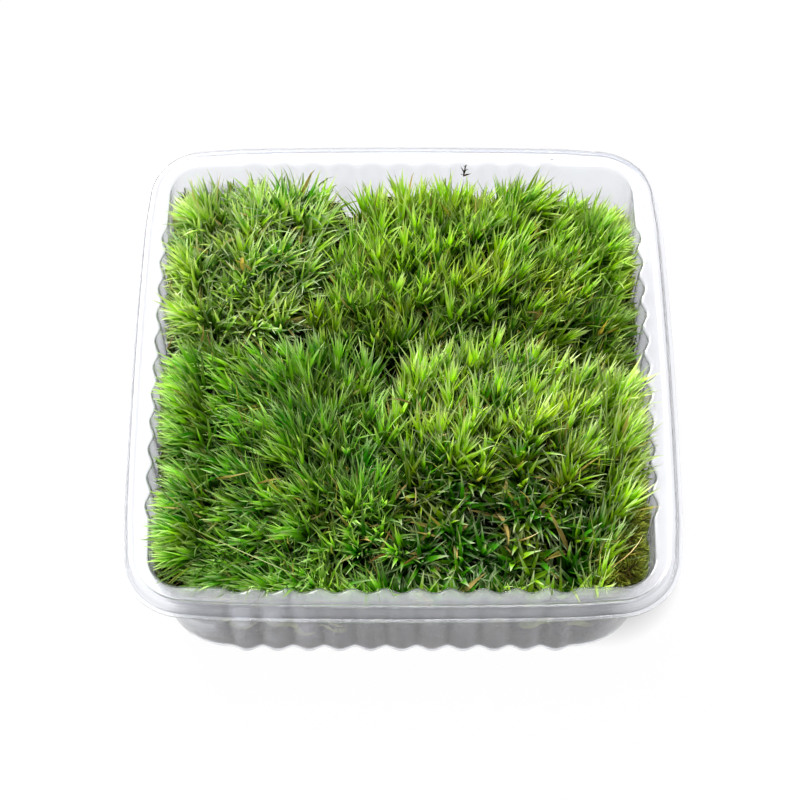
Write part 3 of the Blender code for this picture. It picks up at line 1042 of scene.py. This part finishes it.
def laid_leaves(rows):
    """Single leaves laid one by one, in the arrays that leaves_piece takes."""
    count = len(rows)
    root, angle, rise, length, width, curve, brown = (np.array(column) for column in zip(*rows))
    angle = np.radians(angle)
    return dict(
        root=root * MM, axis=unit(np.stack([np.cos(angle), np.sin(angle), rise], 1)),
        out=np.stack([-np.sin(angle), np.cos(angle), np.zeros(count)], 1),
        angle=np.zeros(count), turn=curve, sweep=np.tile((0, 0, -0.25), (count, 1)),
        length=length * MM, width=width * MM, twist=curve, fold=np.full(count, 0.5),
        traits=np.stack([np.full(count, 0.5), np.zeros(count), brown], 1),
    )


flat = laid_leaves([((x, -63.8, z), *rest) for x, z, *rest in PRESSED_LEAVES])
count = len(PRESSED_LEAVES)
flat.update(
    turn=np.zeros(count), twist=np.zeros(count), fold=np.full(count, 0.05), width=flat["width"] * 1.5,
    sweep=np.array([(0, 0, row[6]) for row in PRESSED_LEAVES]),
)
pressed = leaves_piece("leaves_pressed_on_wall", flat, pressed_leaf)
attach(pressed, "root")


# ---- Dead leaves and stalks ----
# Dry leaves that came loose lie on the moss, with one long pale stalk at the front left.

straw_leaf = leaf_material(
    "dry straw-coloured leaf", base="#8a7440", middle="#b59a5c", light="#dcc88e", tip="#f0e6c4",
    yellow="#cbb070", dead="#7a5c34", glow=0.25,
)

# Place in mm, direction in degrees from +X, rise, length and width in mm, curve, share of brown
DRY_LEAVES = (
    ((28.5, -51.5, 42.5), 12, 0.10, 6.5, 1.1, 0.5, 0.0),
    ((2.5, -14.0, 43.5), 150, 0.15, 6.0, 0.9, 0.6, 0.5),
    ((5.0, -16.5, 43.0), 100, 0.30, 5.0, 0.8, 0.4, 0.6),
    ((-46.0, -34.5, 43.0), 8, 0.05, 8.5, 1.3, 0.2, 0.0),
    ((-36.0, -36.0, 43.0), 20, 0.05, 6.5, 1.1, -0.3, 0.0),
    ((-52.0, 6.5, 40.5), 75, 0.35, 5.0, 1.3, 0.4, 0.9),
    ((-49.5, 5.0, 40.5), 110, 0.30, 4.5, 1.2, -0.3, 0.7),
    ((-61.2, 24.0, 38.5), 80, 0.20, 4.0, 0.9, 0.3, 0.9),
    ((-61.0, 5.5, 38.5), 60, 0.30, 4.5, 1.0, 0.3, 0.8),
    ((51.0, -58.0, 41.0), 28, 0.20, 12.5, 0.9, 0.7, 0.1),
    ((-4.0, -54.0, 39.0), 200, 0.10, 5.0, 1.4, 0.3, 1.0),
    ((0.5, -56.0, 38.5), 40, 0.15, 4.5, 1.2, -0.4, 0.9),
    ((-2.0, -50.0, 38.5), 120, 0.15, 4.0, 1.1, 0.3, 1.0),
    ((3.0, -41.0, 40.0), 75, 0.25, 5.5, 0.8, 0.5, 0.3),
    ((37.0, 14.5, 40.5), 160, 0.10, 5.0, 0.8, 0.4, 0.6),
)

STALK_SHAPE = (0.5, 0.8, 1.0, 1.0, 0.95, 0.9, 0.85, 0.75, 0.6, 0.45)
STALK = (((-51.5, -49.5, 45.5), -27, -0.02, 28.0, 0.6, 0.15, 0.0),)
pale_stalk = leaf_material(
    "pale stalk", base="#b2bc70", middle="#c6d088", light="#e0e8b0", tip="#f2f4d4",
    yellow="#d0d890", dead="#9a8c50", tips=0.6, glow=0.25,
)
for name, rows, shape, material in (
    ("dead_leaves", DRY_LEAVES, LEAF_SHAPE, straw_leaf),
    ("straw_stalk", STALK, STALK_SHAPE, pale_stalk),
):
    litter = leaves_piece(name, laid_leaves(rows), material, shape)
    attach(litter, "root")


# ---- Dark sprigs ----
# Two withered sprigs, nearly black, that stick up behind the moss at the back rim.

sprig_leaf = leaf_material(
    "withered sprig", base="#14100a", middle="#2a2616", light="#4a4a26", tip="#6a6436",
    yellow="#3c3a1c", dead="#3a2414", tips=0.3, glow=0.1,
)


def sprig_habit(x, y):
    return dict(
        leaves=12, lean=(0.12, 0.2), spread=(8, 40), recurve=15, length=2.4, width=0.5, brush=4.0,
        curl=0.1, tone=0.4, dead=0.4, stray=0.1, stand=0.0,
    )


sprig_places = np.array([(-58.5, 54.5, 38.5), (17.0, 60.5, 40.0)]) * MM
sprigs = shoots(sprig_places, np.tile((0.0, 0.0, 1.0), (len(sprig_places), 1)), 808, sprig_habit)
sprig_piece = leaves_piece("dark_sprigs", sprigs, sprig_leaf)
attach(sprig_piece, "root")


# ---- Specks ----
# Crumbs of soil and bark: most stick to the inside of the walls near their foot, and a few lie on
# the flange.

bark = new_material("soil and bark crumbs")
place = add_node(bark, "TexCoord").outputs["Object"]
grain = add_node(bark, "TexNoise", Vector=place, Scale=700.0, Detail=3.0)
brown = add_node(bark, "ValToRGB", stops=((0.0, "#0a0806"), (1.0, "#3c2e20")), i0=grain)
rough_grain = add_node(bark, "Bump", Strength=0.6, Distance=0.2 * MM, Height=grain)
crumb = add_node(bark, "BsdfPrincipled", Base_Color=brown, Roughness=0.7, Normal=rough_grain)
set_surface(bark, crumb)

bpy.ops.object.select_all(action="DESELECT")
bpy.ops.mesh.primitive_ico_sphere_add(subdivisions=1, radius=0.5)
crumb_form = bpy.context.object
crumb_points = np.array([vert.co[:] for vert in crumb_form.data.vertices])
crumb_faces = np.array([face.vertices[:] for face in crumb_form.data.polygons])
bpy.data.objects.remove(crumb_form, do_unlink=True)


def speck_piece(name, places, sizes, turns):
    """Crumbs joined into one piece: each a lumpy grain of its own three sizes, turned its own way."""
    number = np.arange(len(places))[:, None, None]
    lumps = 1 + 0.25 * np.sin(number * 7.1 + crumb_points[None, :, :1] * 9)
    points = np.einsum("nij,nkj->nki", turns, crumb_points[None] * sizes[:, None, :] * lumps)
    points = (points + places[:, None, :]).reshape(-1, 3)
    tris = (crumb_faces[None] + number * len(crumb_points)).reshape(-1, 3)
    piece = mesh_piece(name, points, np.zeros((0, 4), int), tris, np.zeros((len(points), 4)), bark)
    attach(piece, "root")


def wall_specks(count, seed):
    """Flecks that lie flat on the inside of the walls, over the humus: places, sizes and turns."""
    rng = np.random.default_rng(seed)
    places, turns = [], []
    for _ in range(count):
        side = rng.choice(4, p=(0.55, 0.15, 0.15, 0.15))
        number = side * (stations // 4) + rng.integers(0, stations // 4 - CORNER_STEPS)
        height = rng.uniform(3, 21)
        ring = humus_ring(height, 0.12)
        here, there = ring[number], ring[(number + 1) % stations]
        along = (there - here) / np.linalg.norm(there - here)
        tilt = rng.uniform(0, math.pi)
        across = np.array((along[1], -along[0], 0))
        first = np.array((along[0] * math.cos(tilt), along[1] * math.cos(tilt), math.sin(tilt)))
        places.append((*here, height * MM))
        turns.append(np.stack([first, across, np.cross(first, across)], 1))
    sizes = [rng.uniform(0.4, 1.5, count), np.full(count, 0.16), rng.uniform(0.25, 0.55, count)]
    return np.array(places), np.stack(sizes, 1) * MM, np.array(turns)


speck_piece("specks_on_walls", *wall_specks(150, 909))

# Place in mm, direction in degrees and length in mm of each crumb on the flange
FLANGE_CRUMBS = (
    ((68.55, -43.0, 37.05), 75, 1.6), ((65.3, 49.0, 39.5), 20, 0.5), ((-65.2, 31.0, 39.5), 60, 0.4),
    ((64.6, -12.0, 39.5), 100, 0.5), ((41.0, 64.9, 39.5), 10, 0.6), ((-64.8, -38.0, 39.5), 120, 0.4),
)
crumb_turns = []
for _, degrees, _ in FLANGE_CRUMBS:
    cosine, sine = math.cos(math.radians(degrees)), math.sin(math.radians(degrees))
    crumb_turns.append(((cosine, -sine, 0), (sine, cosine, 0), (0, 0, 1)))
speck_piece(
    "crumbs_on_flange", np.array([row[0] for row in FLANGE_CRUMBS]) * MM,
    np.array([(row[2], row[2] * 0.3, 0.2) for row in FLANGE_CRUMBS]) * MM, np.array(crumb_turns),
)


# ---- Floor, light and camera ----
# A white table lit from below and a white room, with a large soft light behind and to the left, weak
# ones behind and overhead, and a weak fill at the front left.

bpy.ops.object.select_all(action="DESELECT")
bpy.ops.mesh.primitive_plane_add(size=6.0, location=(0, 0, -0.1 * MM))
table = bpy.context.object
table.name = "table"
acrylic = new_material("opal acrylic lit from below")
# Painted shadow: the lit sheet glows less under the tray, and a little further out on its right and
# back.
inset = add_node(acrylic, "TexCoord").outputs["Object"]
for operation, amount in (
    ("SUBTRACT", (0.008, 0.004, 0)), ("ABSOLUTE", (0, 0, 0)), ("SUBTRACT", (0.044, 0.044, 0)),
    ("MAXIMUM", (0, 0, 0)),
):
    inset = add_node(acrylic, "VectorMath", operation=operation, i0=inset, i1=amount)
inset = add_node(acrylic, "VectorMath", operation="LENGTH", i0=inset)
lit = add_node(
    acrylic, "MapRange", i0=inset.outputs["Value"],
    From_Min=0.012, From_Max=0.022, To_Min=0.5, To_Max=0.985,
)
white = add_node(
    acrylic, "BsdfPrincipled", Base_Color=(0.015, 0.015, 0.015, 1), Roughness=0.9,
    Specular_IOR_Level=0.0, Emission_Color=(1, 1, 1, 1), Emission_Strength=lit,
)
set_surface(acrylic, white)
table.data.materials.append(acrylic)
table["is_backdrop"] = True

world = bpy.data.worlds.new("white room")
world.use_nodes = True
background = world.node_tree.nodes["Background"]
background.inputs["Color"].default_value = (1, 1, 1, 1)
background.inputs["Strength"].default_value = 0.22
bpy.context.scene.world = world

# Each soft rectangular light: its name, width and depth in m, power in W and place in m
for name, width, depth, power, place in (
    ("window", 0.45, 0.45, 33.0, (-0.42, 0.72, 0.80)),
    ("rear", 0.50, 0.20, 1.8, (0.0, 0.37, 0.98)),
    ("overhead", 0.40, 0.16, 6.0, (0.05, 0.10, 1.05)),
    ("fill", 0.60, 0.40, 3.0, (-0.75, -0.85, 0.30)),
):
    light = bpy.data.lights.new(name, "AREA")
    light.shape = "RECTANGLE"
    light.size, light.size_y = width, depth
    light.energy = power
    lamp = bpy.data.objects.new(name, light)
    lamp.location = place
    lamp.rotation_euler = (Vector((0, 0, 0.03)) - lamp.location).to_track_quat("-Z", "Y").to_euler()
    bpy.context.scene.collection.objects.link(lamp)

lens = bpy.data.cameras.new("camera")
lens.lens = 99.648
lens.sensor_width = 36.0
lens.clip_start = 0.01
lens.clip_end = 20.0
camera = bpy.data.objects.new("camera", lens)
camera.location = (-0.000382, -0.28856, 0.53270)
camera.rotation_euler = (math.radians(90 - 60.57), 0, 0)
bpy.context.scene.collection.objects.link(camera)
bpy.context.scene.camera = camera
bpy.context.scene.view_settings.view_transform = "Standard"

low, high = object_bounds()
